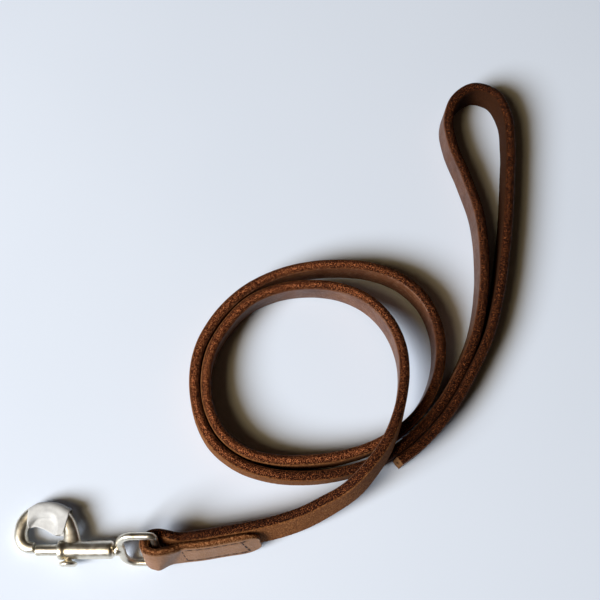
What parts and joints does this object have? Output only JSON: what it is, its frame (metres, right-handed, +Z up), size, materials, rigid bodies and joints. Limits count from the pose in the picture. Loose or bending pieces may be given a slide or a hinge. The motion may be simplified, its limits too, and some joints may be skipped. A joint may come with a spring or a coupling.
{
  "type": "leather lead strap",
  "caption": "Flat leather lead strap lying on edge in loose turns, with a sewn hand loop and a swivel-eye bolt snap in a sewn fold.",
  "frame": {"origin": "middle of the bounding box, on the surface that the strap stands on", "axes": "+Z up, square to that surface; the snap points along -X and the hand loop reaches along +Y"},
  "size_m": [0.2415, 0.249, 0.0333],
  "materials": {
    "leather": "satin brown bridle leather with rough cut edges",
    "thread": "waxed dark brown thread",
    "nickel": "worn nickel plate, warm and a little dull",
    "spring_steel": "bright drawn wire",
    "paper": "matt white paper, blank"
  },
  "bodies": {
    "strap": {"strap_snap_end": "leather", "strap_tail": "leather", "strap_inner_turn": "leather", "strap_outer_turn": "leather", "strap_hand_loop": "leather", "snap_end_stitching": "thread", "hand_loop_stitching": "thread"},
    "eye": {"swivel_eye": "nickel"},
    "snap": {"snap_body": "nickel", "bolt_spring": "spring_steel", "paper_label": "paper"},
    "bolt": {"snap_bolt": "nickel", "thumb_stud": "nickel"}
  },
  "joints": [
    {"name": "eye_swing", "type": "hinge", "parent": "strap", "child": "eye", "pos_m": [-0.0545, -0.1153, 0.0124], "axis": [-0.1247, 0.4848, 0.8657], "range_deg": [0, 60]},
    {"name": "swivel", "type": "hinge", "parent": "eye", "child": "snap", "pos_m": [-0.0545, -0.1153, 0.0124], "axis": [0.9898, 0, 0.1426], "continuous": true},
    {"name": "bolt_slide", "type": "slide", "parent": "snap", "child": "bolt", "axis": [0.9898, 0, 0.1426], "range_m": [0, 0.008], "stiffness_N_per_m": 300, "deforming": ["bolt_spring"]}
  ]
}
